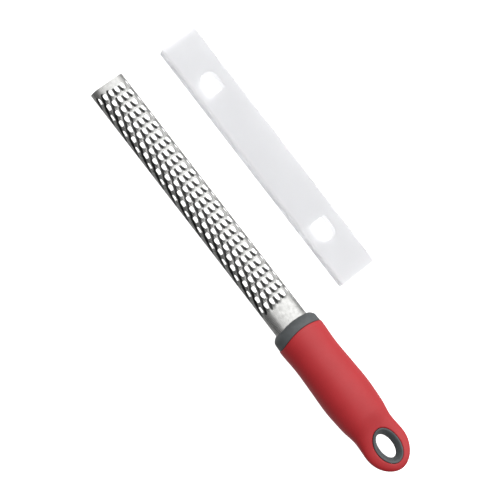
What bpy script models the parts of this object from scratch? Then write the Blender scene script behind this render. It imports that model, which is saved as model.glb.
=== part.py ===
"""Hand rasp-grater: an arched, etched steel blade in a two-part moulded handle, with its loose blade cover.

The tool lies on its handle along X, from the blade's tip at -X to the hanging hole at +X. The cover lies
beside it, at +Y. The origin is the middle of the whole set's footprint, on the table at Z = 0.
Lengthwise places are measured from the blade's tip, and called stations.
"""

import math

import bmesh
import bpy
from mathutils import Matrix, Vector

MM = 0.001
GAP = 0.3 * MM  # clearance between pieces that touch
PAST = 20.0 * MM  # how far a cutter runs on past what it cuts
MERGE = 0.001 * MM

# Blade: a slightly crowned strip with well rounded shoulders, which end in short flanges
BLADE_THICKNESS = 0.35 * MM
BLADE_HALF_WIDTH = 13.0 * MM
CROWN_RADIUS = 90.0 * MM
EDGE_RADIUS = 6.2 * MM
FLANGE_DEPTH = 0.4 * MM
BLADE_TOP = 19.3 * MM  # height of the crown above the table
SHANK_END = 204.2 * MM  # where the flanges stop, inside the collar
TANG_END = 244.7 * MM

# Teeth: staggered rows of windows, each with a raised cutting lip on its handle side
TOOTH_COLUMNS = 6  # in every other row; the rows between have one fewer
TOOTH_ROWS = 27
ROW_PITCH = 6.69 * MM
COLUMN_STEP = 2.37 * MM  # sideways offset from one row to the next
FIRST_ROW = 7.26 * MM
WINDOW_HALF_LENGTH = 2.3 * MM
WINDOW_HALF_WIDTH = 1.3 * MM
WINDOW_CORNER = 0.62  # where the window's corners are, over its half length
LIP_HEIGHT = 0.7 * MM
LIP_CORNER = 0.45  # height of the lip at the window's corners, over its height in the middle

# Tang: the crown's middle runs on into the handle, where two pegs hold it
TANG_COLUMNS = 3  # each side of the centre line
TANG_HOLES = (220.7 * MM, 234.7 * MM)
TANG_HOLE_RADIUS = 1.9 * MM
PEG_RADIUS = 1.5 * MM
PEG_SIDES = 12
PEG_FOOT, PEG_TOP = 14.5 * MM, 21.5 * MM

# Handle outline: (station, half width, underside height, top height). It stands on its two bulges
HANDLE_STATIONS = [
    (198.7 * MM, 17.35 * MM, 0.6 * MM, 26.5 * MM),
    (211.7 * MM, 17.75 * MM, 0.0 * MM, 27.0 * MM),
    (229.2 * MM, 17.05 * MM, 0.9 * MM, 26.4 * MM),
    (244.7 * MM, 17.55 * MM, 0.4 * MM, 27.6 * MM),
    (260.7 * MM, 18.15 * MM, 0.0 * MM, 28.0 * MM),
    (277.7 * MM, 17.25 * MM, 2.2 * MM, 26.6 * MM),
    (290.7 * MM, 15.4 * MM, 7.3 * MM, 22.3 * MM),
    (303.1 * MM, 16.2 * MM, 10.7 * MM, 19.7 * MM),
    (322.7 * MM, 16.2 * MM, 10.7 * MM, 19.7 * MM),
]
TOOL_LENGTH = 322.7 * MM
RING_START = 303.1 * MM  # the end rounds off from here, in plan and in height, by these powers
RING_PLAN_POWER, RING_PLAN_ROOT = 1.95, 0.55
RING_HEIGHT_POWER, RING_HEIGHT_ROOT = 7.0, 0.5
PALM_SQUARENESS, RING_SQUARENESS = 2.15, 2.8  # superellipse powers of the cross-section
SQUARENESS_FROM, SQUARENESS_TO = 274.0 * MM, 297.0 * MM
SECTION_POINTS = 32

# Collar: a domed nose in front of the grip, which starts on a swept-back line
DOME_FRONT = 199.2 * MM
DOME_LENGTH = 7.3 * MM
DOME_SHARES = (0.05, 0.3, 0.55, 0.75, 0.9, 1.0)  # sizes of the sections along the dome
GRIP_FRONT = 207.4 * MM  # on the top and bottom centre lines
GRIP_SWEEP = 4.3 * MM  # how much further back the line is at the sides
SWEEP_HALF_WIDTH = 17.4 * MM
SWEEP_CUTTER_HALF_WIDTH = 22.5 * MM
COLLAR_STEP = 0.5 * MM  # the collar lies this much inside the grip's surface
COLLAR_SECTIONS_END = 218.0 * MM

# Core: a frame inside the grip, with a cap that clamps the tang. Their nose plugs into the collar
SKIN = 2.6 * MM  # thickness of the soft grip over the core
NOSE_FRONT = 205.0 * MM
NOSE_HALF_WIDTH, NOSE_HALF_HEIGHT = 11.7 * MM, 7.7 * MM
SHOULDER, SHOULDER_BACK = 213.7 * MM, 214.1 * MM
CAP_END = 264.7 * MM
CORE_POINTS = 20
SPLIT_HALF_ARC = 23.0 * MM  # the split follows the tang's crown out past both sides of the core

# Hanging eyelet: an oval ring through the grip's end, with a waisted hole
EYELET_STATION = 304.1 * MM
EYELET_HALF_LENGTH = 13.15 * MM
EYELET_HALF_WIDTH = 9.05 * MM
EYELET_HALF_HEIGHT = 4.5 * MM
EYELET_HEIGHT = 15.2 * MM  # of its middle, above the table
EYELET_LIP = 1.2 * MM  # width of the flat rim
EYELET_THROAT_INSET = 4.1 * MM  # from the outside to the clear hole
EYELET_ROUNDING = 0.35 * MM
EYELET_POINTS = 36

# Cover: a flat sleeve with a finger hole near each end
COVER_START = 1.1 * MM
COVER_LENGTH = 202.3 * MM
COVER_HALF_WIDTH = 15.0 * MM
COVER_HEIGHT = 9.4 * MM
COVER_WALL = 0.8 * MM
COVER_CORNER = 2.2 * MM
COVER_SPACING = 61.0 * MM  # from the tool's axis to the cover's
FINGER_HOLE_OFFSET = 63.4 * MM  # of each hole's middle, from the cover's
FINGER_HOLE_HALF_LENGTH = 8.0 * MM
FINGER_HOLE_HALF_WIDTH = 6.0 * MM
FINGER_HOLE_NOSE = 6.0 * MM  # length of the rounded end

# Places in the shared frame
HANDLE_HALF_WIDTH = max(half_width for _, half_width, _, _ in HANDLE_STATIONS)
TOOL_Y = -(COVER_SPACING + COVER_HALF_WIDTH - HANDLE_HALF_WIDTH) / 2
COVER_Y = TOOL_Y + COVER_SPACING
TIP_X = -TOOL_LENGTH / 2

COLORS = {
    "steel": (0.62, 0.62, 0.61, 1.0),
    "soft_red": (0.50, 0.035, 0.045, 1.0),
    "slate_plastic": (0.075, 0.085, 0.092, 1.0),
    "core_plastic": (0.11, 0.115, 0.12, 1.0),
    "clear_plastic": (0.80, 0.81, 0.84, 1.0),
}


def clear_scene():
    for obj in list(bpy.data.objects):
        bpy.data.objects.remove(obj, do_unlink=True)


def new_collection(name):
    collection = bpy.data.collections.new(name)
    bpy.context.scene.collection.children.link(collection)
    return collection


def material(name, color_key, roughness, metallic=0.0):
    made = bpy.data.materials.new(name)
    made.use_nodes = True
    shader = made.node_tree.nodes["Principled BSDF"]
    shader.inputs["Base Color"].default_value = COLORS[color_key]
    shader.inputs["Roughness"].default_value = roughness
    shader.inputs["Metallic"].default_value = metallic
    return made


def add_part(name, mesh, made_of):
    obj = bpy.data.objects.new(name, mesh)
    obj.data.materials.append(made_of)
    parts.objects.link(obj)
    return obj


def add_cutter(name, mesh):
    obj = bpy.data.objects.new(name, mesh)
    obj.hide_render = True
    obj.display_type = "WIRE"
    cutters.objects.link(obj)
    return obj


def boolean(obj, other, operation="DIFFERENCE"):
    modifier = obj.modifiers.new(f"{operation.lower()}_{other.name}", "BOOLEAN")
    modifier.object = other
    modifier.operation = operation


def mesh_from(name, bm, smooth_below=None):
    """The bmesh as a mesh, shaded smooth where faces meet at under smooth_below degrees."""
    mesh = bpy.data.meshes.new(name)
    bm.normal_update()
    bm.to_mesh(mesh)
    bm.free()
    if smooth_below:
        mesh.shade_smooth()
        mesh.set_sharp_from_angle(angle=math.radians(smooth_below))
    return mesh


def loft(name, rings, smooth_below=40):
    """A closed mesh through rings of points, with flat ends."""
    bm = bmesh.new()
    loops = [[bm.verts.new(point) for point in ring] for ring in rings]
    for ahead, behind in zip(loops, loops[1:]):
        for i, corner in enumerate(ahead):
            before = i - 1
            bm.faces.new((ahead[before], corner, behind[i], behind[before]))
    bm.faces.new(reversed(loops[0]))
    bm.faces.new(loops[-1])
    bmesh.ops.recalc_face_normals(bm, faces=bm.faces)
    return mesh_from(name, bm, smooth_below)


def prism(name, outline, low, high):
    """An upright prism over an outline in plan."""
    bm = bmesh.new()
    base = bm.faces.new([bm.verts.new((x, y, low)) for x, y in outline])
    raised = bmesh.ops.extrude_face_region(bm, geom=[base])["geom"]
    top = [item for item in raised if isinstance(item, bmesh.types.BMVert)]
    bmesh.ops.translate(bm, verts=top, vec=(0, 0, high - low))
    bmesh.ops.recalc_face_normals(bm, faces=bm.faces)
    return mesh_from(name, bm)


def spread(start, end, steps):
    return [start + (end - start) * i / steps for i in range(steps + 1)]


def upright_cutter(name, outline, low=-PAST, high=2 * PAST):
    return add_cutter(name, prism(name, outline, low, high))


def ellipse(centre, half_length, half_width, count):
    angles = [2 * math.pi * i / count for i in range(count)]
    return [(centre[0] + half_length * math.cos(a), centre[1] + half_width * math.sin(a)) for a in angles]


# ---- Blade ----


def blade_profile():
    """The crown's half angle, and the arc lengths from the centre line to the turned edge's two ends."""
    crown_angle = math.asin((BLADE_HALF_WIDTH - EDGE_RADIUS) / (CROWN_RADIUS - EDGE_RADIUS))
    crown_arc = CROWN_RADIUS * crown_angle
    edge_arc = crown_arc + EDGE_RADIUS * (math.pi / 2 - crown_angle)
    return crown_angle, crown_arc, edge_arc


def blade_point(station, across, lift=0.0):
    """A point of the blade's outer skin. across is the arc length from the centre line."""
    crown_angle, crown_arc, edge_arc = blade_profile()
    arc = abs(across)
    if arc <= crown_arc:
        angle = arc / CROWN_RADIUS
        side = (CROWN_RADIUS + lift) * math.sin(angle)
        drop = CROWN_RADIUS - (CROWN_RADIUS + lift) * math.cos(angle)
    else:
        angle = min(crown_angle + (arc - crown_arc) / EDGE_RADIUS, math.pi / 2)
        inner = CROWN_RADIUS - EDGE_RADIUS
        side = inner * math.sin(crown_angle) + (EDGE_RADIUS + lift) * math.sin(angle)
        drop = CROWN_RADIUS - inner * math.cos(crown_angle) - (EDGE_RADIUS + lift) * math.cos(angle)
        drop += max(arc - edge_arc, 0.0)
    return Vector((TIP_X + station, TOOL_Y + math.copysign(side, across), BLADE_TOP - drop))


def add_face(bm, corners):
    """A face through (station, across, lift) corners, which run from left to right and then back."""
    bm.faces.new([bm.verts.new(blade_point(*corner)) for corner in reversed(corners)])


def pierced_tile(bm, station, across, half_length, opening, lifts):
    """A cell of the strip around one six-sided hole. opening: its half length and half width."""
    rim = [(-1, -1), (-1, 0), (-1, 1), (1, 1), (1, 0), (1, -1)]
    hole = [(a if b == 0 else a * WINDOW_CORNER, b) for a, b in rim]
    outer = [(station + a * half_length, across + b * COLUMN_STEP, 0.0) for a, b in rim]
    inner = [
        (station + a * opening[0], across + b * opening[1], lift) for (a, b), lift in zip(hole, lifts)
    ]
    for i in range(len(rim)):
        add_face(bm, (outer[i - 1], outer[i], inner[i], inner[i - 1]))


def strip(bm, stations, places):
    """Plain cells between neighbouring stations and neighbouring places across the blade."""
    for start, end in zip(stations, stations[1:]):
        for left, right in zip(places, places[1:]):
            add_face(bm, ((start, left, 0.0), (start, right, 0.0), (end, right, 0.0), (end, left, 0.0)))


def column_lines(reach):
    """Places across the blade, one COLUMN_STEP apart, out to reach steps on both sides."""
    return [COLUMN_STEP * i for i in range(-reach, reach + 1)]


def add_toothed_rows(bm, rows):
    """The windows with their lips, and the plain cells at the ends of the shorter rows."""
    lifts = (0.0, 0.0, 0.0, LIP_CORNER * LIP_HEIGHT, LIP_HEIGHT, LIP_CORNER * LIP_HEIGHT)
    window = (WINDOW_HALF_LENGTH, WINDOW_HALF_WIDTH)
    columns = column_lines(TOOTH_COLUMNS)
    for row in range(TOOTH_ROWS):
        teeth = TOOTH_COLUMNS - row % 2
        station = FIRST_ROW + ROW_PITCH * row
        for tooth in range(teeth):
            across = COLUMN_STEP * (2 * tooth + 1 - teeth)
            pierced_tile(bm, station, across, ROW_PITCH / 2, window, lifts)
        if row % 2:
            strip(bm, rows[row : row + 2], columns[:2])
            strip(bm, rows[row : row + 2], columns[-2:])


def add_tang(bm):
    """The crown's middle, with two holes for the core's pegs."""
    half_cell = ROW_PITCH / 2
    hole = (TANG_HOLE_RADIUS, TANG_HOLE_RADIUS)
    level = (0.0,) * 6
    lines = column_lines(TANG_COLUMNS)
    plain_from = SHANK_END
    for station in TANG_HOLES:
        cell = [station - half_cell, station + half_cell]
        pierced_tile(bm, station, 0.0, half_cell, hole, level)
        strip(bm, cell, lines[:TANG_COLUMNS])
        strip(bm, cell, lines[-TANG_COLUMNS:])
        strip(bm, [plain_from, cell[0]], lines)
        plain_from = cell[1]
    strip(bm, [plain_from, TANG_END], lines)


def make_blade(steel):
    edge_arc = blade_profile()[2]
    toothed_arc = TOOTH_COLUMNS * COLUMN_STEP
    edges = [toothed_arc, (toothed_arc + edge_arc) / 2, edge_arc, edge_arc + FLANGE_DEPTH]
    rows = [FIRST_ROW + ROW_PITCH * (i - 0.5) for i in range(TOOTH_ROWS + 1)]
    shank = [rows[-1], (rows[-1] + SHANK_END) / 2, SHANK_END]
    bm = bmesh.new()
    add_toothed_rows(bm, rows)
    strip(bm, [0.0, rows[0]], column_lines(TOOTH_COLUMNS))
    strip(bm, shank, column_lines(TOOTH_COLUMNS))
    for side in (-1, 1):
        strip(bm, [0.0, *rows, *shank[1:]], sorted(side * edge for edge in edges))
    add_tang(bm)
    bmesh.ops.remove_doubles(bm, verts=bm.verts, dist=MERGE)
    blade = add_part("blade", mesh_from("blade", bm, smooth_below=35), steel)
    sheet = blade.modifiers.new("sheet", "SOLIDIFY")
    sheet.thickness = BLADE_THICKNESS
    sheet.offset = -1
    sheet.use_even_offset = True


def blade_slot(name, half_arc, start, end):
    """A cutter that leaves GAP all round the strip between two stations."""
    places = spread(-half_arc, half_arc, 12)
    bm = bmesh.new()
    for left, right in zip(places, places[1:]):
        corners = ((start, left, GAP), (start, right, GAP), (end, right, GAP), (end, left, GAP))
        add_face(bm, corners)
    bmesh.ops.remove_doubles(bm, verts=bm.verts, dist=MERGE)
    cutter = add_cutter(name, mesh_from(name, bm))
    slot = cutter.modifiers.new("slot", "SOLIDIFY")
    slot.thickness = BLADE_THICKNESS + 2 * GAP
    slot.offset = -1
    return cutter


# ---- Handle ----


def handle_size(station):
    """Half width, underside and top height at a station, on a smooth curve through HANDLE_STATIONS."""
    table = HANDLE_STATIONS
    i = max(k for k in range(len(table) - 1) if table[k][0] <= station or k == 0)
    here, there = table[i], table[i + 1]
    span = there[0] - here[0]
    t = (station - here[0]) / span

    def rise(k, column):
        before, after = table[k], table[k + 1]
        return (after[column] - before[column]) / (after[0] - before[0])

    def slope(k, column):
        """Level at the table's ends and at each high or low point, so the curve never overshoots one."""
        if k in (0, len(table) - 1) or rise(k - 1, column) * rise(k, column) <= 0:
            return 0.0
        return 2 / (1 / rise(k - 1, column) + 1 / rise(k, column))

    values = []
    for column in (1, 2, 3):
        start, end = here[column], there[column]
        a, b = slope(i, column) * span, slope(i + 1, column) * span
        blend = 3 * t**2 - 2 * t**3
        ease = a * (t**3 - 2 * t**2 + t) + b * (t**3 - t**2)
        values.append(start + (end - start) * blend + ease)
    return values


def smoothstep(value, start, end):
    t = min(max((value - start) / (end - start), 0.0), 1.0)
    return t * t * (3 - 2 * t)


def squareness(station):
    return PALM_SQUARENESS + (RING_SQUARENESS - PALM_SQUARENESS) * smoothstep(
        station, SQUARENESS_FROM, SQUARENESS_TO
    )


def oval(station, half_width, half_height, middle, power, count=SECTION_POINTS):
    """A superellipse in the YZ plane at a station."""
    points = []
    for i in range(count):
        angle = 2 * math.pi * i / count
        across = math.copysign(abs(math.cos(angle)) ** (2 / power), math.cos(angle))
        up = math.copysign(abs(math.sin(angle)) ** (2 / power), math.sin(angle))
        points.append(Vector((TIP_X + station, TOOL_Y + half_width * across, middle + half_height * up)))
    return points


def handle_section(station, inset, shrink=1.0, count=SECTION_POINTS):
    """The handle's cross-section, moved inwards by inset and then scaled by shrink."""
    half_width, low, high = handle_size(station)
    middle, half_height = (low + high) / 2, (high - low) / 2
    half_width, half_height = half_width - inset, half_height - inset
    if station > RING_START:
        t = (station - RING_START) / (TOOL_LENGTH - inset - RING_START)
        half_width *= (1 - t**RING_PLAN_POWER) ** RING_PLAN_ROOT
        half_height *= (1 - t**RING_HEIGHT_POWER) ** RING_HEIGHT_ROOT
    return oval(station, half_width * shrink, half_height * shrink, middle, squareness(station), count)


def ring_end_stations(inset, steps=9):
    """Stations from the ring's widest place nearly to its end, closer together near the end."""
    reach = TOOL_LENGTH - inset - RING_START
    last = 0.999
    return [RING_START + reach * min(math.sin(math.pi / 2 * i / steps), last) for i in range(1, steps + 1)]


def sweep_outline(offset, back):
    """Plan outline of everything in front of (or behind, if back) the line where the grip starts."""
    half = SWEEP_CUTTER_HALF_WIDTH
    line = []
    for y in spread(-half, half, 16):
        station = GRIP_FRONT + offset + GRIP_SWEEP * (y / SWEEP_HALF_WIDTH) ** 2
        line.append((TIP_X + station, TOOL_Y + y))
    far = TIP_X + (COLLAR_SECTIONS_END + PAST if back else DOME_FRONT - PAST)
    return line + [(far, TOOL_Y + half), (far, TOOL_Y - half)]


def core_rings(grow):
    """Cross-sections of the core, made larger by grow: the nose, the shoulder and the long body."""
    low, high = handle_size(NOSE_FRONT)[1:]
    half_width, half_height, middle = NOSE_HALF_WIDTH + grow, NOSE_HALF_HEIGHT + grow, (low + high) / 2
    nose = [
        oval(station, half_width, half_height, middle, PALM_SQUARENESS, CORE_POINTS)
        for station in (NOSE_FRONT - grow, SHOULDER - grow)
    ]
    inset = SKIN - grow
    body = spread(SHOULDER_BACK - grow, RING_START, 11) + ring_end_stations(inset, 6)
    return nose + [handle_section(station, inset, count=CORE_POINTS) for station in body]


def make_grip(soft, cavity, eyelet_hole):
    stations = spread(GRIP_FRONT - COLLAR_STEP, RING_START, 17) + ring_end_stations(0.0)
    grip = add_part("grip_sleeve", loft("grip_sleeve", [handle_section(s, 0.0) for s in stations]), soft)
    front = upright_cutter("ahead_of_grip", sweep_outline(0.0, False))
    for cutter in (front, cavity, eyelet_hole):
        boolean(grip, cutter)


def make_collar(plastic, cavity):
    dome = []
    for share in DOME_SHARES:
        setback = DOME_LENGTH * (1 - math.sqrt(1 - share**2))
        dome.append(handle_section(DOME_FRONT + setback, COLLAR_STEP, shrink=share))
    sides = spread(GRIP_FRONT, COLLAR_SECTIONS_END, 3)
    rings = dome + [handle_section(station, COLLAR_STEP) for station in sides]
    collar = add_part("collar", loft("collar", rings), plastic)
    behind = upright_cutter("behind_collar", sweep_outline(-GAP, True))
    shank_half_arc = blade_profile()[2] + FLANGE_DEPTH
    mouth = blade_slot("blade_mouth", shank_half_arc + GAP, DOME_FRONT - PAST, SHANK_END + GAP)
    neck = blade_slot("tang_mouth", TANG_COLUMNS * COLUMN_STEP + GAP, SHANK_END, SHOULDER)
    for cutter in (behind, cavity, mouth, neck):
        boolean(collar, cutter)


def above_split(name, offset, end):
    """Everything above a surface that runs offset above the middle of the tang's thickness."""
    centre = Vector((TIP_X, TOOL_Y, BLADE_TOP - CROWN_RADIUS))
    radius = CROWN_RADIUS - BLADE_THICKNESS / 2 + offset
    half_angle = SPLIT_HALF_ARC / CROWN_RADIUS
    rings = []
    for station in (NOSE_FRONT - PAST, end):
        angles = spread(-half_angle, half_angle, 16)
        arc = [centre + Vector((station, radius * math.sin(a), radius * math.cos(a))) for a in angles]
        lid = [Vector((arc[k].x, arc[k].y, BLADE_TOP + PAST)) for k in (-1, 0)]
        rings.append(arc + lid)
    return add_cutter(name, loft(name, rings))


def make_core(plastic, eyelet_hole):
    """The frame and the cap, which hold the tang between them on two pegs."""
    slot = blade_slot("tang_slot", TANG_COLUMNS * COLUMN_STEP + GAP, DOME_FRONT, TANG_END + GAP)
    frame = add_part("core_frame", loft("core_frame", core_rings(0.0)), plastic)
    cap = add_part("core_cap", loft("core_cap", core_rings(0.0)), plastic)
    boolean(frame, above_split("cap_space", -GAP / 2, CAP_END + GAP))
    boolean(cap, above_split("cap_region", GAP / 2, CAP_END), "INTERSECT")
    boolean(frame, slot)
    boolean(cap, slot)
    boolean(frame, eyelet_hole)
    for number, station in enumerate(TANG_HOLES, 1):
        place = (TIP_X + station, TOOL_Y)
        peg = ellipse(place, PEG_RADIUS, PEG_RADIUS, PEG_SIDES)
        socket = ellipse(place, PEG_RADIUS + GAP, PEG_RADIUS + GAP, PEG_SIDES)
        boolean(frame, upright_cutter(f"peg_{number}", peg, PEG_FOOT, PEG_TOP), "UNION")
        boolean(cap, upright_cutter(f"socket_{number}", socket, PEG_FOOT, PEG_TOP + GAP))


def eyelet_outline(inset):
    place = (TIP_X + EYELET_STATION, TOOL_Y)
    return ellipse(place, EYELET_HALF_LENGTH - inset, EYELET_HALF_WIDTH - inset, EYELET_POINTS)


def make_eyelet(plastic):
    """Straight outside, with a flat rim at each face and a hole that narrows to its middle."""
    top = EYELET_HALF_HEIGHT
    hole_start = EYELET_LIP + EYELET_ROUNDING
    funnel = EYELET_THROAT_INSET - hole_start
    profile = [(0.0, top - EYELET_ROUNDING), (EYELET_ROUNDING, top), (EYELET_LIP, top)]
    for turn in spread(0, math.pi / 2, 5):
        profile.append((hole_start + funnel * math.sin(turn), (top - EYELET_ROUNDING) * math.cos(turn)))
    profile += [(inset, -level) for inset, level in reversed(profile[:-1])]
    rings = [[(x, y, EYELET_HEIGHT + level) for x, y in eyelet_outline(inset)] for inset, level in profile]
    bm = bmesh.new()
    loops = [[bm.verts.new(point) for point in ring] for ring in rings]
    for number, ahead in enumerate(loops):
        behind = loops[number - 1]
        for i, corner in enumerate(ahead):
            bm.faces.new((ahead[i - 1], corner, behind[i], behind[i - 1]))
    bmesh.ops.recalc_face_normals(bm, faces=bm.faces)
    add_part("hanging_eyelet", mesh_from("hanging_eyelet", bm, smooth_below=40), plastic)


# ---- Cover ----


def cover_section(station, inset):
    """The sleeve's rounded oblong outline at a station."""
    reach_y, reach_z = COVER_HALF_WIDTH - COVER_CORNER, COVER_HEIGHT / 2 - COVER_CORNER
    radius = COVER_CORNER - inset
    points = []
    for quarter, (side, level) in enumerate(((1, 1), (-1, 1), (-1, -1), (1, -1))):
        centre_y, centre_z = COVER_Y + side * reach_y, COVER_HEIGHT / 2 + level * reach_z
        for turn in spread(quarter, quarter + 1, 4):
            y = centre_y + radius * math.cos(math.pi / 2 * turn)
            z = centre_z + radius * math.sin(math.pi / 2 * turn)
            points.append(Vector((TIP_X + station, y, z)))
    return points


def finger_hole(name, direction):
    """A bullet-shaped hole right through the sleeve, its rounded end towards direction."""
    middle = COVER_START + COVER_LENGTH / 2 + direction * FINGER_HOLE_OFFSET
    flat_end = middle - direction * FINGER_HOLE_HALF_LENGTH
    shoulder = middle + direction * (FINGER_HOLE_HALF_LENGTH - FINGER_HOLE_NOSE)
    outline = [(TIP_X + flat_end, COVER_Y + FINGER_HOLE_HALF_WIDTH)]
    for angle in spread(math.pi / 2, -math.pi / 2, 12):
        x = TIP_X + shoulder + direction * FINGER_HOLE_NOSE * math.cos(angle)
        outline.append((x, COVER_Y + FINGER_HOLE_HALF_WIDTH * math.sin(angle)))
    outline.append((TIP_X + flat_end, COVER_Y - FINGER_HOLE_HALF_WIDTH))
    return upright_cutter(name, outline)


def make_cover(clear):
    end = COVER_START + COVER_LENGTH
    middle = COVER_START + COVER_LENGTH / 2
    sleeve = loft("blade_cover", [cover_section(COVER_START, 0.0), cover_section(end, 0.0)])
    cover = add_part("blade_cover", sleeve, clear)
    bore = [cover_section(s, COVER_WALL) for s in (COVER_START - PAST, end + PAST)]
    boolean(cover, add_cutter("sleeve_bore", loft("sleeve_bore", bore)))
    boolean(cover, finger_hole("finger_hole_tip", -1))
    boolean(cover, finger_hole("finger_hole_handle", 1))
    # the cover's own origin is on its axis of travel
    pivot = Vector((TIP_X + middle, COVER_Y, 0.0))
    cover.data.transform(Matrix.Translation(-pivot))
    cover.location = pivot


clear_scene()
parts = new_collection("rasp_grater")
cutters = new_collection("cutters")

steel = material("steel", "steel", 0.3, 1.0)
soft_red = material("soft_red", "soft_red", 0.55)
slate = material("slate_plastic", "slate_plastic", 0.5)
core_plastic = material("core_plastic", "core_plastic", 0.6)
clear_plastic = material("clear_plastic", "clear_plastic", 0.25)

core_space = add_cutter("core_space", loft("core_space", core_rings(GAP)))
eyelet_space = upright_cutter("eyelet_space", eyelet_outline(-GAP))

make_blade(steel)
make_collar(slate, core_space)
make_core(core_plastic, eyelet_space)
make_eyelet(slate)
make_grip(soft_red, core_space, eyelet_space)
make_cover(clear_plastic)
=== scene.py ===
"""Looks of the rasp-grater: etched toothed blade, soft red grip, grey collar and eyelet, milky blade cover.

Stations are metres from the blade's tip along +X. Widths across the blade are arc lengths of its skin.
"""

import math

import bmesh
import bpy
import numpy as np
from mathutils import Matrix, Vector


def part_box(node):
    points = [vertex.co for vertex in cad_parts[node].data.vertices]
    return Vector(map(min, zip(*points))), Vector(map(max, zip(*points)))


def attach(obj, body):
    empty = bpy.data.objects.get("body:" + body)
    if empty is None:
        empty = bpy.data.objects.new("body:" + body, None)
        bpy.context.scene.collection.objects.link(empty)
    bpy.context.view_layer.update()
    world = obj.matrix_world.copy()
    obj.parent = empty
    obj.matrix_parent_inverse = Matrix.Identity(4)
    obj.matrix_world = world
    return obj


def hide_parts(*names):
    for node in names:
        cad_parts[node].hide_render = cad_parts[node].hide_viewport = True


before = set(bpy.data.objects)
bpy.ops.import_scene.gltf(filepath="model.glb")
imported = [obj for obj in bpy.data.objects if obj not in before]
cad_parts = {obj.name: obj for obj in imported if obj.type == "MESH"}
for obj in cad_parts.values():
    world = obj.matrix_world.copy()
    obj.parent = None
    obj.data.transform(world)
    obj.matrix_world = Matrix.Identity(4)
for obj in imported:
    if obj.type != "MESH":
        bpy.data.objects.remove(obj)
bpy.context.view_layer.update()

MM = 0.001

# ---- Places, from the frame ----

blade_low, blade_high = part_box("blade")
cover_low, cover_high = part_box("blade_cover")
eyelet_low, eyelet_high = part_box("hanging_eyelet")
TIP_X = blade_low.x
TOOL_Y = (blade_low.y + blade_high.y) / 2

# ---- Blade ----

SHEET = 0.3 * MM
BLADE_HALF_WIDTH = (blade_high.y - blade_low.y) / 2
CROWN_RADIUS = 90.0 * MM
EDGE_RADIUS = 6.2 * MM
FLANGE_DEPTH = 0.4 * MM
LIP_HEIGHT = 0.7 * MM
BLADE_TOP = blade_high.z - LIP_HEIGHT
SHANK_END = 204.2 * MM

TOOTH_ROWS = 27
WIDE_ROW_TEETH = 6  # the rows between have one fewer
ROW_PITCH = 6.69 * MM
COLUMN_STEP = 2.37 * MM  # sideways offset from one row to the next
FIRST_ROW = 7.5 * MM
WINDOW_HALF_LENGTH = 2.15 * MM
WINDOW_HALF_WIDTH = 1.3 * MM
WINDOW_SQUARENESS = 3.4
OUTER_WINDOWS_FROM = 4.5 * COLUMN_STEP  # across: the windows on the turned edges are narrower
OUTER_WINDOW_SHARE = 0.62
LIP_LENGTH = 2.3 * MM  # from the window's end back to the plain skin
LIP_CREST_HALF_WIDTH = 1.4 * MM
LIP_HALF_WIDTH = 2.25 * MM

# The bridges between neighbouring windows are sunken valleys, darkened in the steel's colour as painted
# shade.
# They fan out from a line where they run straight. On the -Y half they are longer and wider, and run on
# into each other.
VALLEY_DEPTH = 0.12 * MM
VALLEY_SHIFT = 0.75 * MM  # of their middles towards the handle, from the windows'
VALLEY_STRAIGHT = 1.0 * MM  # where the line is, across
VALLEY_TURN = 42.0  # slope gained per metre from the line
VALLEY_SLOPES = (-0.34, 0.17)  # the least and the greatest
VALLEY_HALF_LENGTHS = (2.7 * MM, 4.6 * MM)  # +Y half, -Y half
VALLEY_HALF_WIDTHS = (1.2 * MM, 1.6 * MM)
VALLEY_CHANGE = (3.0 * MM, -6.0 * MM)  # places across between which one kind turns into the other
VALLEYS_END = 8.5 * MM  # across: beyond it on the +Y half the bridges are plain

# Mesh cells
CELLS_ALONG, CELLS_ACROSS, RINGS = 10, 8, 5  # along, across and inwards on each tooth's tile
RING_CROWDING = 0.8  # below 1, the rings crowd towards the window
CELLS_PER_COLUMN_STEP = CELLS_ACROSS // 2
TIP_CELLS, SHANK_CELLS, EDGE_CELLS = 6, 16, 7


def blade_profile():
    """The crown's half angle, and the arc lengths to the turned edge's start and end."""
    crown_angle = math.asin((BLADE_HALF_WIDTH - EDGE_RADIUS) / (CROWN_RADIUS - EDGE_RADIUS))
    crown_arc = CROWN_RADIUS * crown_angle
    return crown_angle, crown_arc, crown_arc + EDGE_RADIUS * (math.pi / 2 - crown_angle)


def blade_points(stations, across, lift):
    """Points of the blade's outer skin, from arrays of stations, arc lengths and heights above the skin."""
    crown_angle, crown_arc, edge_arc = blade_profile()
    arc = np.abs(across)
    on_crown = arc <= crown_arc
    crown = arc / CROWN_RADIUS
    edge = np.minimum(crown_angle + (arc - crown_arc) / EDGE_RADIUS, math.pi / 2)
    inner = CROWN_RADIUS - EDGE_RADIUS
    angle = np.where(on_crown, crown, edge)
    radius = np.where(on_crown, CROWN_RADIUS, EDGE_RADIUS) + lift
    side = np.where(on_crown, 0.0, inner * math.sin(crown_angle)) + radius * np.sin(angle)
    drop = CROWN_RADIUS - np.where(on_crown, 0.0, inner * math.cos(crown_angle)) - radius * np.cos(angle)
    drop = drop + np.maximum(arc - edge_arc, 0.0)
    return np.column_stack((TIP_X + stations, TOOL_Y + np.sign(across) * side, BLADE_TOP - drop))


def tooth_centres():
    """(station, place across) of every tooth: rows of six and five in turn."""
    centres = []
    for row in range(TOOTH_ROWS):
        teeth = WIDE_ROW_TEETH - row % 2
        for tooth in range(teeth):
            centres.append((FIRST_ROW + ROW_PITCH * row, COLUMN_STEP * (2 * tooth + 1 - teeth)))
    return centres


def smoothstep(value, start, end):
    t = np.clip((value - start) / (end - start), 0.0, 1.0)
    return t * t * (3 - 2 * t)


def window_half_width(column):
    outermost = abs(column) > OUTER_WINDOWS_FROM
    return WINDOW_HALF_WIDTH * (OUTER_WINDOW_SHARE if outermost else 1.0)


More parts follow.
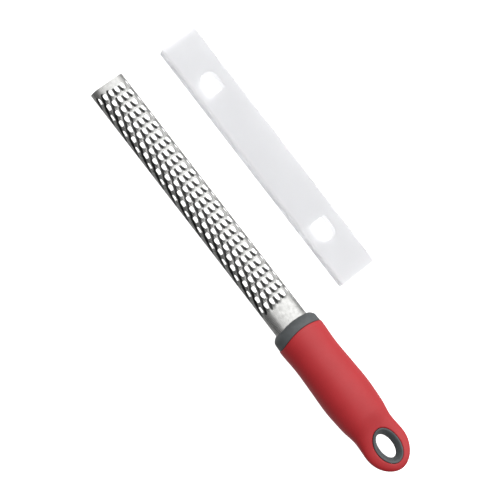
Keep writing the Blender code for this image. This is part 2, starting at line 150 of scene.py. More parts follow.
def window_end(across, half_width):
    """How far a window reaches along the blade at a place across it."""
    inside = np.clip(np.abs(across) / half_width, 0, 1)
    return WINDOW_HALF_LENGTH * (1 - inside**WINDOW_SQUARENESS) ** (1 / WINDOW_SQUARENESS)


def tooth_height(stations, across):
    """Height of the formed skin: a lip at each window's handle side, and the sunken valleys."""
    height = np.zeros_like(stations)
    for centre, column in tooth_centres():
        near = (np.abs(across - column) < LIP_HALF_WIDTH) & (stations > centre)
        near &= stations < centre + WINDOW_HALF_LENGTH + LIP_LENGTH
        along, side = stations[near] - centre, across[near] - column
        behind = along - window_end(side, window_half_width(column))
        rise = smoothstep(along, 0.0, WINDOW_HALF_LENGTH)
        fall = smoothstep(behind, LIP_LENGTH, 0.0)
        hood = smoothstep(np.abs(side), LIP_HALF_WIDTH, LIP_CREST_HALF_WIDTH)
        height[near] += LIP_HEIGHT * rise * fall * hood
    return height - VALLEY_DEPTH * valley_share(stations, across)


def valley_middles():
    """(station, place across) of the bridge on each side of every window, each bridge once."""
    middles = {
        (round(centre, 6), round(column + side * COLUMN_STEP, 6))
        for centre, column in tooth_centres()
        for side in (-1, 1)
    }
    return sorted(middle for middle in middles if middle[1] <= VALLEYS_END)


def valley_share(stations, across):
    """How much of a valley each place belongs to, from 0 to 1; it sinks the skin and sets the painted
    valley shade.
    """
    share = np.zeros_like(stations)
    for centre, column in valley_middles():
        kind = float(smoothstep(column, *VALLEY_CHANGE))
        half_length = VALLEY_HALF_LENGTHS[0] * (1 - kind) + VALLEY_HALF_LENGTHS[1] * kind
        half_width = VALLEY_HALF_WIDTHS[0] * (1 - kind) + VALLEY_HALF_WIDTHS[1] * kind
        slope = float(np.clip(VALLEY_TURN * (column - VALLEY_STRAIGHT), *VALLEY_SLOPES))
        behind = stations - centre - VALLEY_SHIFT
        along = np.abs(behind) / half_length
        side = np.abs(across - column - slope * behind) / half_width
        near = (along < 1) & (side < 1)
        here = np.cos(math.pi / 2 * along[near] ** 2) * np.cos(math.pi / 2 * side[near]) ** 2
        share[near] = np.maximum(share[near], here)
    return share


class SkinBuilder:
    """Collects faces over (station, across) points, and merges the points that neighbours share."""

    def __init__(self):
        self.points, self.faces = [], []

    def add(self, points, faces):
        start = len(self.points)
        self.points.extend(points)
        self.faces.extend(tuple(start + i for i in face) for face in faces)

    def grid(self, stations, places):
        width = len(places)
        faces = [
            (i * width + j, (i + 1) * width + j, (i + 1) * width + j + 1, i * width + j + 1)
            for i in range(len(stations) - 1)
            for j in range(width - 1)
        ]
        self.add([(s, p) for s in stations for p in places], faces)

    def pierced(self, centre, column, outline):
        """A tile with a window, meshed in rings from the tile's outline to the window's."""
        count = len(outline)
        half_width = window_half_width(column)
        points = []
        for ring in range(RINGS + 1):
            share = (ring / RINGS) ** RING_CROWDING
            for a, b in outline:
                along, side = a * ROW_PITCH / 2, b * COLUMN_STEP
                reach = abs(along / WINDOW_HALF_LENGTH) ** WINDOW_SQUARENESS
                reach += abs(side / half_width) ** WINDOW_SQUARENESS
                shrink = reach ** (-1 / WINDOW_SQUARENESS)
                size = 1 + (shrink - 1) * share
                points.append((centre + along * size, column + side * size))
        faces = []
        for ring in range(RINGS):
            here, there = ring * count, (ring + 1) * count
            for i in range(count):
                k = (i + 1) % count
                faces.append((here + k, here + i, there + i, there + k))
        self.add(points, faces)

    def mesh(self, name, height):
        points = np.array(self.points)
        keys = np.round(points * 1e6).astype(np.int64)
        first, merged = np.unique(keys, axis=0, return_index=True, return_inverse=True)[1:]
        merged = merged.reshape(-1)
        skin = points[first]
        mesh = bpy.data.meshes.new(name)
        lift = height(skin[:, 0], skin[:, 1])
        corners = blade_points(skin[:, 0], skin[:, 1], lift)
        mesh.from_pydata(corners.tolist(), [], [[int(merged[i]) for i in f] for f in self.faces])
        mesh.update()
        # The valleys' share, which the steel turns into painted shade in the recesses
        painted_valley_shade = mesh.attributes.new("painted_valley_shade", "FLOAT", "POINT")
        painted_valley_shade.data.foreach_set("value", valley_share(skin[:, 0], skin[:, 1]).astype(np.float32))
        return mesh


def tile_outline():
    """Points round a tile in its half sizes, spaced evenly so that staggered rows share them."""
    along = np.linspace(-1, 1, CELLS_ALONG + 1)
    across = np.linspace(-1, 1, CELLS_ACROSS + 1)
    outline = [(-1.0, b) for b in across[:-1]]
    outline += [(a, 1.0) for a in along[:-1]]
    outline += [(1.0, b) for b in across[:0:-1]]
    return outline + [(a, -1.0) for a in along[:0:-1]]


def make_blade():
    skin = SkinBuilder()
    outline = tile_outline()
    for centre, column in tooth_centres():
        skin.pierced(centre, column, outline)
    toothed = WIDE_ROW_TEETH * COLUMN_STEP
    cells = WIDE_ROW_TEETH * CELLS_PER_COLUMN_STEP
    columns = COLUMN_STEP / CELLS_PER_COLUMN_STEP * np.arange(-cells, cells + 1)
    start = FIRST_ROW - ROW_PITCH / 2
    end = start + ROW_PITCH * TOOTH_ROWS
    toothed_stations = np.linspace(start, end, TOOTH_ROWS * CELLS_ALONG + 1)
    tip_stations = np.linspace(0.0, start, TIP_CELLS + 1)
    shank_stations = np.linspace(end, SHANK_END, SHANK_CELLS + 1)
    for row in range(1, TOOTH_ROWS, 2):
        stations = toothed_stations[row * CELLS_ALONG : (row + 1) * CELLS_ALONG + 1]
        skin.grid(stations, columns[: CELLS_PER_COLUMN_STEP + 1])
        skin.grid(stations, columns[-CELLS_PER_COLUMN_STEP - 1 :])
    skin.grid(tip_stations, columns)
    skin.grid(shank_stations, columns)
    edge_arc = blade_profile()[2]
    turned = np.append(np.linspace(toothed, edge_arc, EDGE_CELLS + 1), edge_arc + FLANGE_DEPTH)
    whole = np.concatenate((tip_stations[:-1], toothed_stations, shank_stations[1:]))
    skin.grid(whole, turned)
    skin.grid(whole, -turned[::-1])
    blade = bpy.data.objects.new("blade_etched", skin.mesh("blade_etched", tooth_height))
    bpy.context.scene.collection.objects.link(blade)
    blade.data.shade_smooth()
    sheet = blade.modifiers.new("sheet", "SOLIDIFY")
    sheet.thickness = SHEET
    sheet.offset = -1
    sheet.use_even_offset = True
    bake_modifiers(blade)
    blade.data.set_sharp_from_angle(angle=math.radians(50))
    return blade


# ---- Handle ----

# (station, half width, underside height, top height)
HANDLE_STATIONS = [
    (198.7 * MM, 17.35 * MM, 0.6 * MM, 26.5 * MM),
    (211.7 * MM, 17.75 * MM, 0.0 * MM, 27.0 * MM),
    (229.2 * MM, 17.05 * MM, 0.9 * MM, 26.4 * MM),
    (244.7 * MM, 17.55 * MM, 0.4 * MM, 27.6 * MM),
    (260.7 * MM, 18.15 * MM, 0.0 * MM, 28.0 * MM),
    (277.7 * MM, 17.25 * MM, 2.2 * MM, 26.6 * MM),
    (290.7 * MM, 15.4 * MM, 7.3 * MM, 22.3 * MM),
    (303.1 * MM, 16.2 * MM, 10.7 * MM, 19.7 * MM),
    (322.7 * MM, 16.2 * MM, 10.7 * MM, 19.7 * MM),
]
TOOL_LENGTH = 322.7 * MM
RING_START = 303.1 * MM
RING_PLAN_POWER, RING_PLAN_ROOT = 1.95, 0.55
RING_HEIGHT_POWER, RING_HEIGHT_ROOT = 7.0, 0.5
RING_REACH = 0.9995  # share of the ring's length that is meshed: its very end has no width
PALM_SQUARENESS, RING_SQUARENESS = 2.15, 2.8
SQUARENESS_FROM, SQUARENESS_TO = 274.0 * MM, 297.0 * MM
SECTION_POINTS = 96
DOME_FRONT = 199.2 * MM
DOME_LENGTH = 7.3 * MM
GRIP_FRONT = 207.4 * MM
GRIP_SWEEP = 4.3 * MM
SWEEP_HALF_WIDTH = 17.4 * MM
SWEEP_SPAN = 1.3  # the cutter's half width, in sweep half widths
SWEEP_REACH = 30 * MM  # how far the cutter goes on from the line
SWEEP_LOW, SWEEP_HIGH = -5 * MM, 35 * MM
COLLAR_STEP = 0.5 * MM
SKIN_INSET = 0.03 * MM  # keeps the smooth skin inside the solids' box
CORE_SKIN = 2.6 * MM  # thickness of the grip over the core
CORE_CLEARANCE = 0.15 * MM
NOSE_FRONT, SHOULDER, SHOULDER_BACK = 205.0 * MM, 213.7 * MM, 214.1 * MM
NOSE_HALF_WIDTH, NOSE_HALF_HEIGHT = 11.7 * MM, 7.7 * MM
CORE_POINTS = 20
BLADE_CLEARANCE = 0.25 * MM
SEAM = 0.12 * MM  # gap between the collar and the grip
COLLAR_BACK = GRIP_FRONT + 9 * MM  # cut off again at the seam
GRIP_VOXEL, GRIP_SMOOTHING = 0.42 * MM, 6
COLLAR_VOXEL, COLLAR_SMOOTHING = 0.27 * MM, 4


def bake_modifiers(obj):
    """Makes the object's mesh what its modifiers show."""
    bpy.context.view_layer.update()
    shown = obj.evaluated_get(bpy.context.evaluated_depsgraph_get())
    mesh = bpy.data.meshes.new_from_object(shown)
    old = obj.data
    obj.modifiers.clear()
    obj.data = mesh
    mesh.name = obj.name
    bpy.data.meshes.remove(old)


def handle_size(station):
    """Half width, underside and top height on a smooth curve through HANDLE_STATIONS."""
    table = HANDLE_STATIONS
    i = max(k for k in range(len(table) - 1) if table[k][0] <= station or k == 0)
    span = table[i + 1][0] - table[i][0]
    t = (station - table[i][0]) / span

    def rise(k, column):
        return (table[k + 1][column] - table[k][column]) / (table[k + 1][0] - table[k][0])

    def slope(k, column):
        if k in (0, len(table) - 1) or rise(k - 1, column) * rise(k, column) <= 0:
            return 0.0
        return 2 / (1 / rise(k - 1, column) + 1 / rise(k, column))

    blend = 3 * t**2 - 2 * t**3
    values = []
    for column in (1, 2, 3):
        start, end = table[i][column], table[i + 1][column]
        a, b = slope(i, column) * span, slope(i + 1, column) * span
        value = start + (end - start) * blend + a * (t**3 - 2 * t**2 + t) + b * (t**3 - t**2)
        values.append(value)
    return values


def section_shape(station, inset):
    """Half width, half height, middle height and squareness of the handle at a station."""
    half_width, low, high = handle_size(station)
    middle, half_height = (low + high) / 2, (high - low) / 2
    half_width, half_height = half_width - inset, half_height - inset
    if station > RING_START:
        t = (station - RING_START) / (TOOL_LENGTH - inset - RING_START)
        half_width *= (1 - min(t, 1.0) ** RING_PLAN_POWER) ** RING_PLAN_ROOT
        half_height *= (1 - min(t, 1.0) ** RING_HEIGHT_POWER) ** RING_HEIGHT_ROOT
    power = PALM_SQUARENESS + (RING_SQUARENESS - PALM_SQUARENESS) * float(
        smoothstep(station, SQUARENESS_FROM, SQUARENESS_TO)
    )
    return half_width, half_height, middle, power


def oval(stations, half_width, half_height, middle, power, count):
    """A superellipse across the tool. stations is one value, or one for each point."""
    angles = 2 * math.pi * np.arange(count) / count
    across = np.sign(np.cos(angles)) * np.abs(np.cos(angles)) ** (2 / power)
    up = np.sign(np.sin(angles)) * np.abs(np.sin(angles)) ** (2 / power)
    along = np.broadcast_to(stations, (count,))
    return np.column_stack((TIP_X + along, TOOL_Y + half_width * across, middle + half_height * up))


def handle_ring(station, inset=0.0, shrink=1.0, count=SECTION_POINTS):
    half_width, half_height, middle, power = section_shape(station, inset)
    return oval(station, half_width * shrink, half_height * shrink, middle, power, count)


def solid(name, points, faces):
    """A closed mesh object whose faces look outwards."""
    mesh = bpy.data.meshes.new(name)
    mesh.from_pydata(points, [], faces)
    bm = bmesh.new()
    bm.from_mesh(mesh)
    bmesh.ops.recalc_face_normals(bm, faces=bm.faces)
    bm.to_mesh(mesh)
    bm.free()
    obj = bpy.data.objects.new(name, mesh)
    bpy.context.scene.collection.objects.link(obj)
    return obj


def loft(name, rings):
    """A solid through rings of points, with flat ends."""
    count = len(rings[0])
    faces = []
    for ring in range(len(rings) - 1):
        here, there = ring * count, (ring + 1) * count
        for i in range(count):
            k = (i + 1) % count
            faces.append((here + i, here + k, there + k, there + i))
    faces.append(tuple(reversed(range(count))))
    faces.append(tuple(range((len(rings) - 1) * count, len(rings) * count)))
    return solid(name, np.concatenate(rings).tolist(), faces)


def prism(name, outline, low, high):
    """A solid with an outline of (x, y) points between two heights."""
    return loft(name, [np.array([(x, y, z) for x, y in outline]) for z in (low, high)])


def cut(obj, cutter, operation="DIFFERENCE"):
    modifier = obj.modifiers.new("cut", "BOOLEAN")
    modifier.object = cutter
    modifier.operation = operation
    bake_modifiers(obj)
    bpy.data.objects.remove(cutter)


def melt(obj, voxel, smoothing):
    """Remeshes evenly and rounds every edge a little, as a moulded part's are."""
    remesh = obj.modifiers.new("even", "REMESH")
    remesh.mode = "VOXEL"
    remesh.voxel_size = voxel
    smooth = obj.modifiers.new("round", "SMOOTH")
    smooth.factor = 0.5
    smooth.iterations = smoothing
    bake_modifiers(obj)
    obj.data.shade_smooth()


def ring_end_stations(inset, steps):
    """Stations from RING_START to the ring's rounded end, closer together towards it."""
    reach = TOOL_LENGTH - inset - RING_START
    turn = math.pi / 2 * np.arange(1, steps + 1) / steps
    return RING_START + reach * np.minimum(np.sin(turn), RING_REACH)


def sweep_cutter(name, offset, direction):
    """Everything in front of (direction -1) or behind (direction 1) the line where the grip starts."""
    across = np.linspace(-SWEEP_SPAN, SWEEP_SPAN, 41) * SWEEP_HALF_WIDTH
    line = TIP_X + GRIP_FRONT + offset + GRIP_SWEEP * (across / SWEEP_HALF_WIDTH) ** 2
    far = np.full_like(line, line.min() - SWEEP_REACH if direction < 0 else line.max() + SWEEP_REACH)
    outline = np.column_stack(
        (np.concatenate((line, far[::-1])), TOOL_Y + np.concatenate((across, across[::-1])))
    )
    return prism(name, outline, SWEEP_LOW, SWEEP_HIGH)


def core_rings():
    """The space that the core takes inside the grip: nose, shoulder and long body."""
    grow = CORE_CLEARANCE
    low, high = handle_size(NOSE_FRONT)[1:]
    nose_size = NOSE_HALF_WIDTH + grow, NOSE_HALF_HEIGHT + grow, (low + high) / 2
    nose = [
        oval(station - grow, *nose_size, PALM_SQUARENESS, CORE_POINTS)
        for station in (NOSE_FRONT, SHOULDER)
    ]
    inset = CORE_SKIN - grow
    straight = np.linspace(SHOULDER_BACK - grow, RING_START, 12)
    body = np.concatenate((straight, ring_end_stations(inset, 6)))
    return nose + [handle_ring(station, inset, count=CORE_POINTS) for station in body]


def surface_height(x, y, side):
    """Height of the handle's top (side 1) or underside (side -1) above or below a place in plan."""
    half_width, half_height, middle, power = section_shape(x - TIP_X, 0.0)
    share = min(abs(y - TOOL_Y) / half_width, 1.0)
    return middle + side * half_height * (1 - share**power) ** (1 / power)


# ---- Eyelet: an oval ring with a waisted hole, whose rims follow the grip's surface ----

EYELET_CENTRE = (eyelet_low + eyelet_high) / 2
EYELET_HALF_LENGTH = (eyelet_high.x - eyelet_low.x) / 2
EYELET_HALF_WIDTH = (eyelet_high.y - eyelet_low.y) / 2
EYELET_THROAT_INSET = 4.2 * MM
RIM_PROUD = 0.2 * MM
FUNNEL_PLAN_POWER, FUNNEL_DEPTH_POWER = 0.8, 0.9  # from the rim to the waist
FUNNEL_STEPS = 12
# (inset from the outside, share of the half height) over the rim's rounded lip
EYELET_LIP = [
    (0.0 * MM, 0.88),
    (0.1 * MM, 0.95),
    (0.3 * MM, 0.99),
    (0.65 * MM, 1.0),
    (1.0 * MM, 0.99),
    (1.3 * MM, 0.95),
]
# The same over the flared hole in the grip that holds the eyelet
EYELET_SEAT = [(-1.1 * MM, 2.0), (-0.45 * MM, 1.0), (-0.12 * MM, 0.9)]


def eyelet_ring(inset, level, count=96):
    """Points round the eyelet. level runs from -1, the lower rim, to 1, the upper one."""
    points = []
    for angle in 2 * math.pi * np.arange(count) / count:
        lengthwise, sideways = math.cos(angle), math.sin(angle)
        outer_x = EYELET_CENTRE.x + EYELET_HALF_LENGTH * lengthwise
        outer_y = EYELET_CENTRE.y + EYELET_HALF_WIDTH * sideways
        top = surface_height(outer_x, outer_y, 1) + RIM_PROUD
        bottom = surface_height(outer_x, outer_y, -1) - RIM_PROUD
        x = EYELET_CENTRE.x + (EYELET_HALF_LENGTH - inset) * lengthwise
        y = EYELET_CENTRE.y + (EYELET_HALF_WIDTH - inset) * sideways
        points.append((x, y, (top + bottom) / 2 + (top - bottom) / 2 * level))
    return points


def make_eyelet():
    lip_end, lip_level = EYELET_LIP[-1]
    funnel = EYELET_THROAT_INSET - lip_end
    upper = list(EYELET_LIP)
    for share in np.linspace(0, 1, FUNNEL_STEPS + 1)[1:]:
        inset = lip_end + funnel * share**FUNNEL_PLAN_POWER
        upper.append((inset, lip_level * (1 - share) ** FUNNEL_DEPTH_POWER))
    whole = upper + [(inset, -level) for inset, level in reversed(upper[:-1])]
    rings = [eyelet_ring(inset, level) for inset, level in whole]
    count = len(rings[0])
    faces = []
    for ring in range(len(rings)):
        here, there = ring * count, (ring + 1) % len(rings) * count
        for i in range(count):
            k = (i + 1) % count
            faces.append((here + i, there + i, there + k, here + k))
    eyelet = solid("eyelet_moulded", [point for ring in rings for point in ring], faces)
    eyelet.data.shade_smooth()
    return eyelet


def make_grip():
    straight = np.linspace(GRIP_FRONT - 2 * MM, RING_START, 60)
    stations = np.concatenate((straight, ring_end_stations(0.0, 30)))
    grip = loft("grip_moulded", [handle_ring(station, SKIN_INSET) for station in stations])
    cut(grip, sweep_cutter("front", 0.0, -1))
    seat = [(inset, -level) for inset, level in EYELET_SEAT] + EYELET_SEAT[::-1]
    cut(grip, loft("hole", [np.array(eyelet_ring(inset, level)) for inset, level in seat]))
    melt(grip, GRIP_VOXEL, GRIP_SMOOTHING)
    cut(grip, loft("core_space", core_rings()))
    grip.data.shade_smooth()
    grip.data.set_sharp_from_angle(angle=math.radians(60))
    return grip


def blade_space():
    """The slot that the blade fills in the collar."""
    edge_arc = blade_profile()[2]
    reach = edge_arc + FLANGE_DEPTH + BLADE_CLEARANCE
    across = np.linspace(-reach, reach, 61)
    rings = []
    for station in (DOME_FRONT - 4 * MM, SHANK_END + 0.3 * MM):
        stations = np.full_like(across, station)
        upper = blade_points(stations, across, BLADE_CLEARANCE)
        lower = blade_points(stations, across[::-1], -SHEET - BLADE_CLEARANCE)
        rings.append(np.concatenate((upper, lower)))
    return loft("blade_space", rings)


def make_collar():
    rings = []
    for size in np.sin(np.linspace(0.04, math.pi / 2, 26)):
        setback = DOME_LENGTH * (1 - math.sqrt(max(1 - size**2, 0.0)))
        rings.append(handle_ring(DOME_FRONT + setback, COLLAR_STEP, shrink=size))
    for station in np.linspace(DOME_FRONT + DOME_LENGTH + 0.5 * MM, COLLAR_BACK, 12):
        rings.append(handle_ring(station, COLLAR_STEP))
    collar = loft("collar_moulded", rings)
    cut(collar, sweep_cutter("behind", -SEAM, 1))
    cut(collar, blade_space())
    melt(collar, COLLAR_VOXEL, COLLAR_SMOOTHING)
    cut(collar, loft("nose_space", core_rings()))
    collar.data.shade_smooth()
    collar.data.set_sharp_from_angle(angle=math.radians(60))
    return collar


# ---- Cover ----

COVER_WALL = 0.8 * MM
COVER_CORNER = 2.2 * MM
FINGER_HOLE_OFFSET = 63.4 * MM
FINGER_HOLE_HALF_LENGTH = 8.0 * MM
FINGER_HOLE_HALF_WIDTH = 6.0 * MM
FINGER_HOLE_NOSE = 6.0 * MM
FINGER_HOLE_CORNER = 0.9 * MM
PLAN_CORNER = 1.8 * MM
COVER_EDGE = 0.15 * MM
COVER_X, COVER_Y = (cover_low.x + cover_high.x) / 2, (cover_low.y + cover_high.y) / 2  # its middle
CUT_LOW, CUT_HIGH = -3 * MM, 14 * MM  # heights that its cutters run between


def cover_ring(x, inset, count=12):
    """The sleeve's outline at x: a flat oblong with rounded corners."""
    half_width, radius = (cover_high.y - cover_low.y) / 2 - inset, COVER_CORNER - inset
    low, high = cover_low.z + inset, cover_high.z - inset
    points = []
    for quarter, (side, level) in enumerate(((1, 1), (-1, 1), (-1, -1), (1, -1))):
        middle_y = COVER_Y + side * (half_width - radius)
        middle_z = high - radius if level > 0 else low + radius
        for i in range(count + 1):
            angle = math.pi / 2 * (quarter + i / count)
            points.append((x, middle_y + radius * math.cos(angle), middle_z + radius * math.sin(angle)))
    return np.array(points)


def finger_hole(direction):
    """A bullet-shaped cutter, its rounded end towards direction along X."""
    middle = COVER_X + direction * FINGER_HOLE_OFFSET
    flat_end = middle - direction * FINGER_HOLE_HALF_LENGTH
    shoulder = middle + direction * (FINGER_HOLE_HALF_LENGTH - FINGER_HOLE_NOSE)
    outline = []
    for turn in np.linspace(math.pi / 2, 0, 7):
        inwards = FINGER_HOLE_CORNER * (1 - math.cos(turn))
        x = flat_end + direction * FINGER_HOLE_CORNER * (1 - math.sin(turn))
        outline.append((x, COVER_Y - FINGER_HOLE_HALF_WIDTH + inwards))
    for turn in np.linspace(-math.pi / 2, math.pi / 2, 33):
        x = shoulder + direction * FINGER_HOLE_NOSE * math.cos(turn)
        outline.append((x, COVER_Y + FINGER_HOLE_HALF_WIDTH * math.sin(turn)))
    for turn in np.linspace(0, math.pi / 2, 7):
        inwards = FINGER_HOLE_CORNER * (1 - math.cos(turn))
        x = flat_end + direction * FINGER_HOLE_CORNER * (1 - math.sin(turn))
        outline.append((x, COVER_Y + FINGER_HOLE_HALF_WIDTH - inwards))
    return prism("finger_hole", outline, CUT_LOW, CUT_HIGH)


def plan_block():
    """The cover's outline in plan, with rounded corners, as a tall block."""
    middle, half = (cover_low + cover_high) / 2, (cover_high - cover_low) / 2
    outline = []
    for quarter, (end, side) in enumerate(((1, 1), (-1, 1), (-1, -1), (1, -1))):
        for turn in np.linspace(quarter, quarter + 1, 9) * math.pi / 2:
            x = middle.x + end * (half.x - PLAN_CORNER) + PLAN_CORNER * math.cos(turn)
            y = middle.y + side * (half.y - PLAN_CORNER) + PLAN_CORNER * math.sin(turn)
            outline.append((x, y))
    return prism("plan_block", outline, CUT_LOW, CUT_HIGH)


def make_cover():
    xs = np.linspace(cover_low.x, cover_high.x, 3)
    cover = loft("cover_sleeve", [cover_ring(x, 0.0) for x in xs])
    bore_ends = cover_low.x - 4 * MM, cover_high.x + 4 * MM
    cut(cover, loft("bore", [cover_ring(x, COVER_WALL) for x in bore_ends]))
    for direction in (-1, 1):
        cut(cover, finger_hole(direction))
    cut(cover, plan_block(), "INTERSECT")
    bevel = cover.modifiers.new("edges", "BEVEL")
    bevel.width = COVER_EDGE
    bevel.segments = 2
    bevel.limit_method = "ANGLE"
    bevel.angle_limit = math.radians(50)
    bake_modifiers(cover)
    cover.data.shade_smooth()
    cover.data.set_sharp_from_angle(angle=math.radians(20))
    return cover


# ---- Materials ----


class Shader:
    """A Principled material with short helpers for the nodes that feed it."""

    def __init__(self, name, **values):
        self.material = bpy.data.materials.new(name)
        self.material.use_nodes = True
        self.tree = self.material.node_tree
        self.surface = self.tree.nodes["Principled BSDF"]
        self.place = self.node("ShaderNodeTexCoord").outputs["Object"]
        for socket, value in values.items():
            self.surface.inputs[socket.replace("_", " ")].default_value = value

    def node(self, kind, **values):
        made = self.tree.nodes.new(kind)
        for socket, value in values.items():
            made.inputs[socket.replace("_", " ")].default_value = value
        return made

    def link(self, output, target):
        self.tree.links.new(output, target)

    def noise(self, scale, detail=2.0, stretch=(1, 1, 1)):
        mapping = self.node("ShaderNodeMapping", Scale=stretch)
        self.link(self.place, mapping.inputs["Vector"])
        noise = self.node("ShaderNodeTexNoise", Scale=scale, Detail=detail)
        self.link(mapping.outputs["Vector"], noise.inputs["Vector"])
        return noise.outputs["Fac"]

    def spread(self, value, low, high, source=(0.3, 0.7)):
        """value, which mostly runs over source, mapped to low..high."""
        ranged = self.node(
            "ShaderNodeMapRange",
            From_Min=source[0],
            From_Max=source[1],
            To_Min=low,
            To_Max=high,
        )
        self.link(value, ranged.inputs["Value"])
        return ranged.outputs["Result"]

    def tint(self, value, dark, light):
        ramp = self.node("ShaderNodeMix")
        ramp.data_type = "RGBA"
        ramp.inputs["A"].default_value = dark
        ramp.inputs["B"].default_value = light
        self.link(value, ramp.inputs["Factor"])
        return ramp.outputs["Result"]

    def blend(self, share, color, other):
        """color, an output, turned by share into other, a fixed colour."""
        mixed = self.tint(share, other, other)
        self.link(color, mixed.node.inputs["A"])
        return mixed

    def color(self, output):
        self.link(output, self.surface.inputs["Base Color"])

    def roughness(self, output):
        self.link(output, self.surface.inputs["Roughness"])

    def bump(self, heights, distance, strength=1.0):
        bump = self.node("ShaderNodeBump", Strength=strength, Distance=distance)
        self.link(heights, bump.inputs["Height"])
        self.link(bump.outputs["Normal"], self.surface.inputs["Normal"])


def steel_material():
    steel = Shader("etched_steel", Metallic=1.0)
    mottle = steel.spread(steel.noise(420, 4.0), 0, 1)
    plain = steel.tint(mottle, (0.37, 0.37, 0.362, 1), (0.47, 0.47, 0.46, 1))
    # Painted shade: the sunken valleys are darkened nearly to black in the base colour
    painted_valley_shade = steel.node("ShaderNodeAttribute")
    painted_valley_shade.attribute_name = "painted_valley_shade"
    painted_shade_share = steel.spread(painted_valley_shade.outputs["Fac"], 0, 1, source=(0.15, 0.45))
    steel.color(steel.blend(painted_shade_share, plain, (0.034, 0.034, 0.034, 1)))
    steel.roughness(steel.spread(steel.noise(260, 3.0, stretch=(1, 14, 14)), 0.20, 0.34))
    steel.bump(steel.noise(2600, 3.0), 0.00002, 0.35)
    return steel.material


def red_material():
    red = Shader("soft_touch_red", Specular_IOR_Level=0.58)
    cloud = red.noise(70, 3.0)
    red.color(red.tint(red.spread(cloud, 0, 1), (0.49, 0.012, 0.018, 1), (0.53, 0.015, 0.022, 1)))
    red.roughness(red.spread(red.noise(900, 2.0), 0.42, 0.52))
    red.bump(red.noise(3500, 2.0), 0.00004, 0.30)
    return red.material


def grey_material(name, dark, light):
    grey = Shader(name, Specular_IOR_Level=0.5)
    grey.color(grey.tint(grey.spread(grey.noise(300, 3.0), 0, 1), dark, light))
    grey.roughness(grey.spread(grey.noise(700, 2.0), 0.42, 0.58))
    grey.bump(grey.noise(3000, 2.0), 0.00004, 0.35)
    return grey.material


def cover_material():
    milky = Shader(
        "milky_plastic",
        Transmission_Weight=0.8,
        IOR=1.25,
        Specular_IOR_Level=0.5,
    )
    cloud = milky.noise(28, 2.0, stretch=(0.6, 2, 2))
    milky.color(milky.tint(milky.spread(cloud, 0, 1), (0.835, 0.837, 0.846, 1), (0.849, 0.851, 0.86, 1)))
    milky.roughness(milky.spread(milky.noise(160, 3.0), 0.55, 0.68))
    milky.bump(milky.noise(90, 2.0), 0.0002, 0.04)
    return milky.material


def dress(obj, material):
    obj.data.materials.clear()
    obj.data.materials.append(material)


# ---- Floor, light and camera ----

# (degrees from straight above towards the cover's side, brightness of the studio there)
SKY = [
    (-180, 0.42),
    (-120, 0.30),
    (-90, 0.17),
    (-60, 0.20),
    (-30, 0.33),
    (-14, 0.45),
    (-2, 0.62),
    (13, 1.0),
    (26, 1.08),
    (50, 1.35),
    (78, 0.68),
    (100, 0.55),
    (180, 0.42),
]
# The X of a direction where the studio starts to dim and where it stops, and its share of light at each
SKY_END = (0.45, 0.90, 1.0, 0.45)
SKY_STRENGTH = 1.35
OVERHEAD_PLACE = Vector((0.0, 0.45, 1.2))
OVERHEAD_SIZE = (1.1, 0.6)
OVERHEAD_POWER = 2
FLOOR_SIZE = 6.0
FLOOR_DROP = 0.1 * MM  # below the undersides, so that the faces do not meet
CAMERA_DISTANCE = 0.85
CAMERA_LEAN = math.radians(15.0)  # from straight above, towards the side away from the cover
CAMERA_TURN = math.radians(52.34)  # of the tool's axis below the picture's horizontal
AIM = Vector((-0.01565, TOOL_Y + 0.00889, 0.013))
VIEW_WIDTH = 0.3345  # seen across the picture at the aim
SENSOR = 36.0


def make_floor():
    """A white floor with its own glow, which the parts neither mirror nor get light from."""
    bpy.ops.mesh.primitive_plane_add(size=FLOOR_SIZE, location=(0, 0, -FLOOR_DROP))
    floor = bpy.context.object
    floor.name = "floor"
    floor.visible_glossy = False
    floor.visible_diffuse = False
    white = Shader("pale_floor", Roughness=0.9)
    white.surface.inputs["Base Color"].default_value = (0.85, 0.85, 0.85, 1)
    white.surface.inputs["Emission Color"].default_value = (1, 1, 1, 1)
    white.surface.inputs["Emission Strength"].default_value = 1.0
    dress(floor, white.material)


def make_overhead():
    data = bpy.data.lights.new("overhead", "AREA")
    data.shape = "RECTANGLE"
    data.size, data.size_y = OVERHEAD_SIZE
    data.energy = OVERHEAD_POWER
    light = bpy.data.objects.new("overhead", data)
    light.location = OVERHEAD_PLACE
    light.rotation_euler = (Vector() - OVERHEAD_PLACE).to_track_quat("-Z", "Y").to_euler()
    bpy.context.scene.collection.objects.link(light)


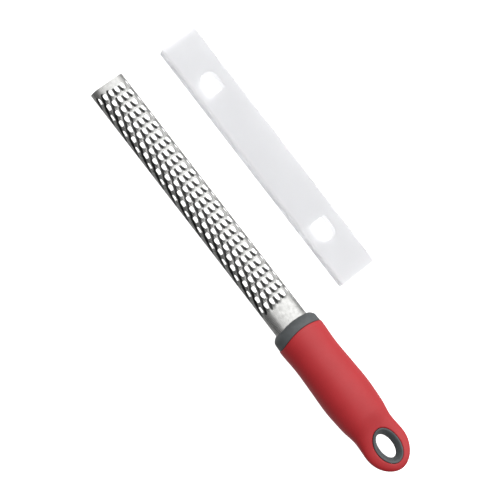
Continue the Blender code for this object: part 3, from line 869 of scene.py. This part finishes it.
def make_sky():
    """A studio that glows from above the tool round to the cover's side, and dims beyond the handle."""
    world = bpy.data.worlds.new("studio")
    bpy.context.scene.world = world
    world.use_nodes = True
    tree = world.node_tree
    background = tree.nodes["Background"]
    background.inputs["Strength"].default_value = SKY_STRENGTH
    place = tree.nodes.new("ShaderNodeTexCoord")
    parts = tree.nodes.new("ShaderNodeSeparateXYZ")
    tree.links.new(place.outputs["Generated"], parts.inputs["Vector"])
    lean = tree.nodes.new("ShaderNodeMath")
    lean.operation = "ARCTAN2"
    tree.links.new(parts.outputs["Y"], lean.inputs[0])
    tree.links.new(parts.outputs["Z"], lean.inputs[1])
    span = tree.nodes.new("ShaderNodeMapRange")
    span.inputs["From Min"].default_value = -math.pi
    span.inputs["From Max"].default_value = math.pi
    tree.links.new(lean.outputs["Value"], span.inputs["Value"])
    ramp = tree.nodes.new("ShaderNodeValToRGB")
    tree.links.new(span.outputs["Result"], ramp.inputs["Fac"])
    stops = ramp.color_ramp
    stops.interpolation = "EASE"
    for degrees, level in SKY[1:-1]:
        stops.elements.new((degrees + 180) / 360)
    for element, (degrees, level) in zip(stops.elements, SKY):
        element.position = (degrees + 180) / 360
        element.color = (level, level, level, 1)
    far = tree.nodes.new("ShaderNodeMapRange")
    far.interpolation_type = "SMOOTHSTEP"
    for socket, value in zip(("From Min", "From Max", "To Min", "To Max"), SKY_END):
        far.inputs[socket].default_value = value
    tree.links.new(parts.outputs["X"], far.inputs["Value"])
    dim = tree.nodes.new("ShaderNodeVectorMath")
    dim.operation = "SCALE"
    tree.links.new(ramp.outputs["Color"], dim.inputs["Vector"])
    tree.links.new(far.outputs["Result"], dim.inputs["Scale"])
    tree.links.new(dim.outputs["Vector"], background.inputs["Color"])


def make_camera():
    data = bpy.data.cameras.new("camera")
    camera = bpy.data.objects.new("camera", data)
    bpy.context.scene.collection.objects.link(camera)
    back = Vector((0, -math.sin(CAMERA_LEAN), math.cos(CAMERA_LEAN)))
    level = Vector((1, 0, 0))
    rise = back.cross(level)
    right = level * math.cos(CAMERA_TURN) + rise * math.sin(CAMERA_TURN)
    up = rise * math.cos(CAMERA_TURN) - level * math.sin(CAMERA_TURN)
    camera.matrix_world = Matrix.Translation(AIM + back * CAMERA_DISTANCE) @ Matrix(
        (right, up, back)
    ).transposed().to_4x4()
    data.sensor_width = SENSOR
    data.lens = SENSOR * CAMERA_DISTANCE / VIEW_WIDTH
    data.clip_start, data.clip_end = 0.05, 20
    bpy.context.scene.camera = camera


def assemble():
    slate = grey_material("slate_plastic", (0.082, 0.090, 0.094, 1), (0.100, 0.110, 0.115, 1))
    core = grey_material("core_plastic", (0.10, 0.105, 0.11, 1), (0.12, 0.125, 0.13, 1))
    rows = [
        (make_blade(), "tool", "blade", "steel", steel_material()),
        (make_grip(), "tool", "grip_sleeve", "soft_red", red_material()),
        (make_collar(), "tool", "collar", "slate_plastic", slate),
        (make_eyelet(), "tool", "hanging_eyelet", "slate_plastic", slate),
        (make_cover(), "cover", "blade_cover", "clear_plastic", cover_material()),
    ]
    for piece, body, node, slot, material in rows:
        dress(piece, material)
        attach(piece, body)
        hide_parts(node)
    for node in ("core_frame", "core_cap"):
        dress(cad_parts[node], core)


make_camera()
make_sky()
make_overhead()
make_floor()
assemble()
bpy.context.scene.view_settings.view_transform = "Standard"
